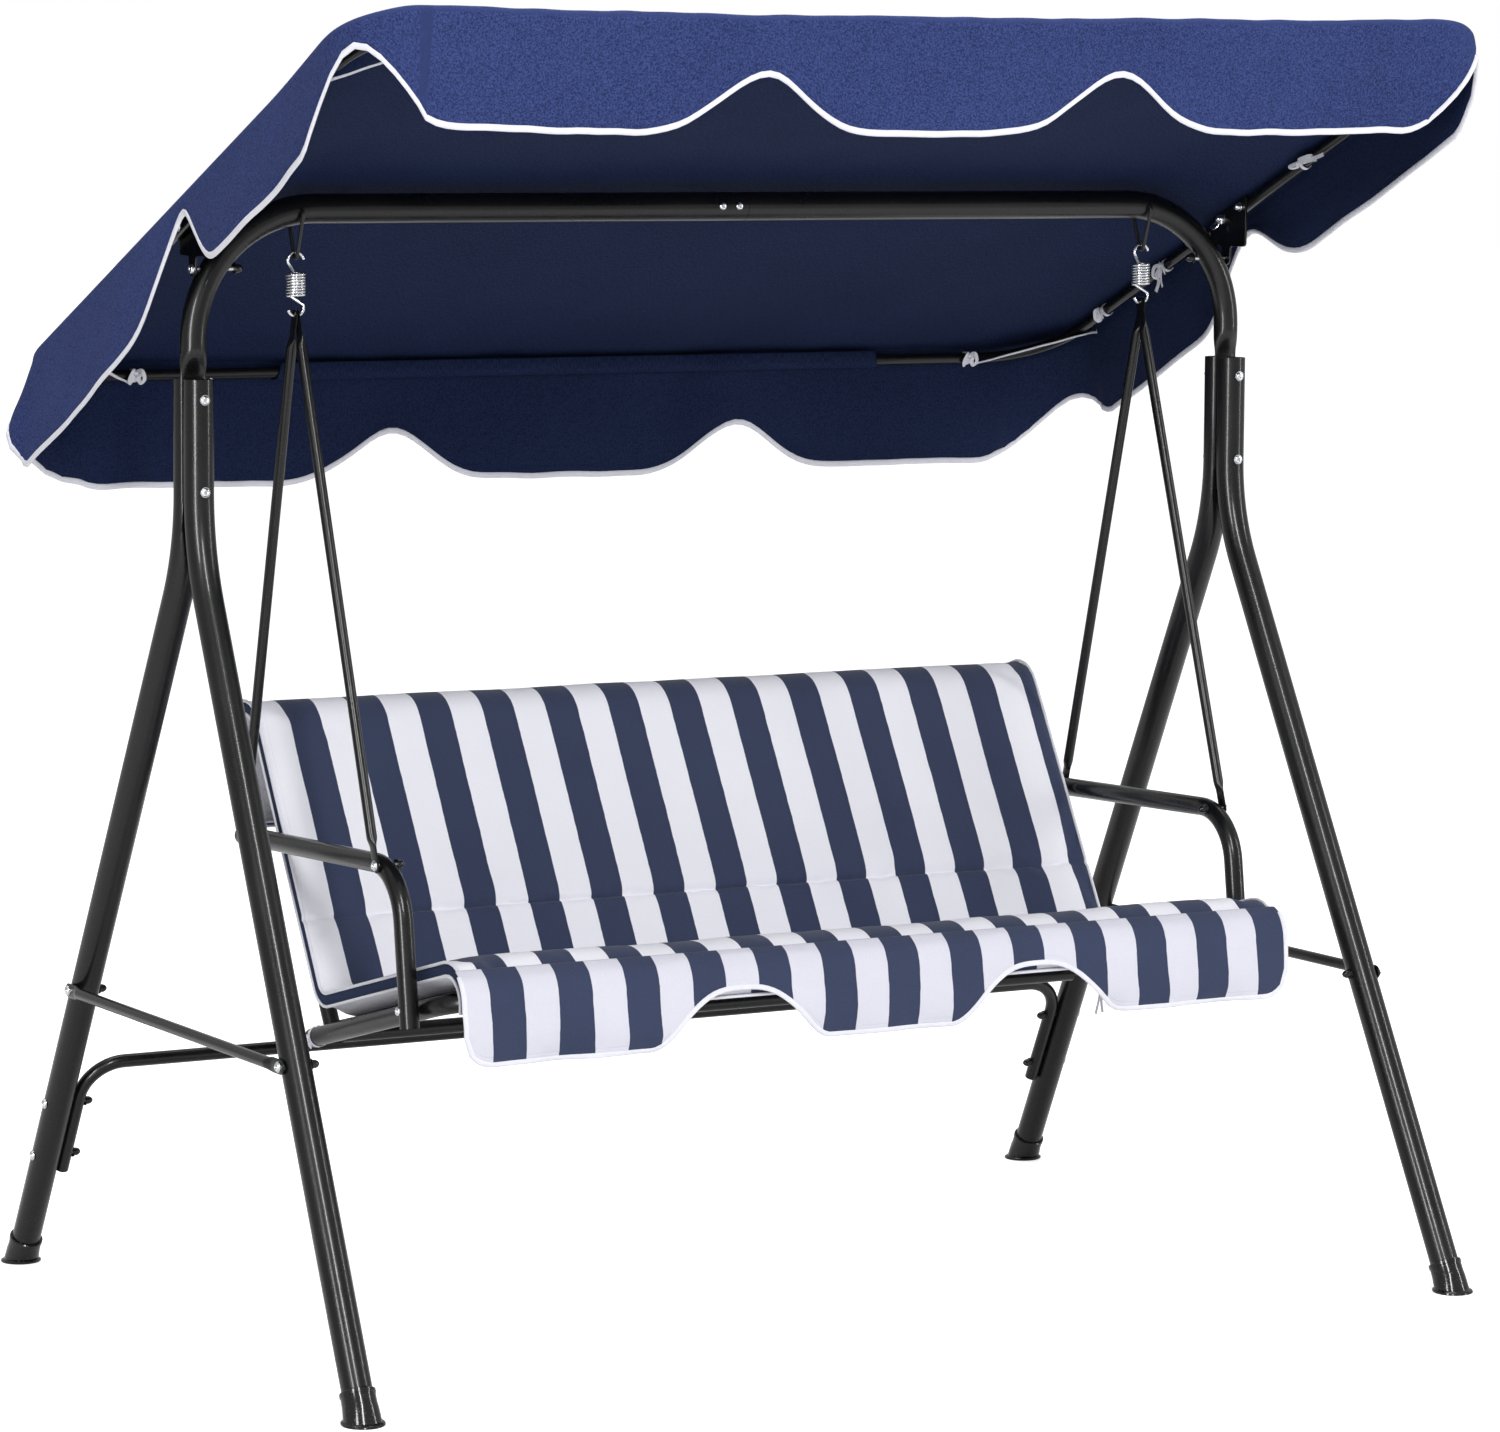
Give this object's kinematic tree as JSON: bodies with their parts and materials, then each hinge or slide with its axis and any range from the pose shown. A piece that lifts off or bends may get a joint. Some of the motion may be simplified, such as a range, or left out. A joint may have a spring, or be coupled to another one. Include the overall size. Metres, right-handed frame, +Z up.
{
  "type": "canopy swing bench",
  "caption": "Free-standing bench swing: two A-frames and a top tube carry a padded bench on springs and hangers, under a tilting cloth canopy with scalloped edges.",
  "frame": {"origin": "on the ground, in the middle of the four feet", "axes": "+X to the right of somebody who stands in front and looks at the bench, -Y the front that the sitters face, +Z up"},
  "size_m": [1.6853, 1.1245, 1.6735],
  "materials": {
    "frame_coat": "satin black powder coat on steel tube",
    "cap_plastic": "glossy black moulded cap",
    "zinc_plate": "bright zinc plate",
    "canopy_cloth": "matt woven polyester, navy",
    "cushion_cloth": "matt cotton-look cloth, navy and off-white stripes about 47 mm wide",
    "sling_cloth": "matt dark sling cloth",
    "hook_coat": "plastic-dipped black wire"
  },
  "bodies": {
    "stand": {"front_leg_left": "frame_coat", "front_leg_right": "frame_coat", "rear_leg_left": "frame_coat", "rear_leg_right": "frame_coat", "front_foot_cap_left": "cap_plastic", "front_foot_cap_right": "cap_plastic", "rear_foot_cap_left": "cap_plastic", "rear_foot_cap_right": "cap_plastic", "top_tube_left": "frame_coat", "top_tube_right": "frame_coat", "side_brace_left": "frame_coat", "side_brace_right": "frame_coat", "rear_crossbar": "frame_coat", "leg_bolt_upper_left": "zinc_plate", "leg_bolt_upper_right": "zinc_plate", "leg_bolt_lower_left": "zinc_plate", "leg_bolt_lower_right": "zinc_plate", "brace_bolt_front_left": "zinc_plate", "brace_bolt_front_right": "zinc_plate", "brace_bolt_rear_left": "zinc_plate", "brace_bolt_rear_right": "zinc_plate", "crossbar_bolt_upper_left": "zinc_plate", "crossbar_bolt_upper_right": "zinc_plate", "crossbar_bolt_lower_left": "zinc_plate", "crossbar_bolt_lower_right": "zinc_plate", "wire_hook_left": "hook_coat", "wire_hook_right": "hook_coat", "canopy_pivot_bolt_left": "zinc_plate", "canopy_pivot_bolt_right": "zinc_plate"},
    "springs": {"spring_left": "zinc_plate", "spring_right": "zinc_plate"},
    "seat": {"front_hanger_left": "frame_coat", "front_hanger_right": "frame_coat", "rear_hanger_left": "frame_coat", "rear_hanger_right": "frame_coat", "armrest_left": "frame_coat", "armrest_right": "frame_coat", "seat_frame": "frame_coat", "back_frame": "frame_coat", "rear_seat_rail": "frame_coat", "seat_sling": "sling_cloth", "back_sling": "sling_cloth", "seat_cushion": "cushion_cloth", "seat_valance": "cushion_cloth", "arm_bolt_front_left": "zinc_plate", "arm_bolt_front_right": "zinc_plate", "arm_bolt_rear_left": "zinc_plate", "arm_bolt_rear_right": "zinc_plate"},
    "canopy": {"canopy_front_tube": "frame_coat", "canopy_rear_tube": "frame_coat", "canopy_bracket_left": "frame_coat", "canopy_bracket_right": "frame_coat", "canopy_lock_bolt_left": "zinc_plate", "canopy_lock_bolt_right": "zinc_plate", "canopy_top": "canopy_cloth", "valance_front": "canopy_cloth", "valance_rear": "canopy_cloth", "valance_left": "canopy_cloth", "valance_right": "canopy_cloth"}
  },
  "joints": [
    {"name": "seat_swing", "type": "hinge", "parent": "stand", "child": "springs", "pos_m": [0, 0, 1.3735], "axis": [1, 0, 0], "range_deg": [-18, 18]},
    {"name": "spring_stretch", "type": "slide", "parent": "springs", "child": "seat", "axis": [0, 0, 1], "range_m": [-0.025, 0.002], "stiffness_N_per_m": 60000, "springref_m": 0.002, "deforming": ["spring_left", "spring_right"]},
    {"name": "canopy_tilt", "type": "hinge", "parent": "stand", "child": "canopy", "pos_m": [0, 0, 1.354], "axis": [1, 0, 0], "range_deg": [-15, 24]}
  ]
}
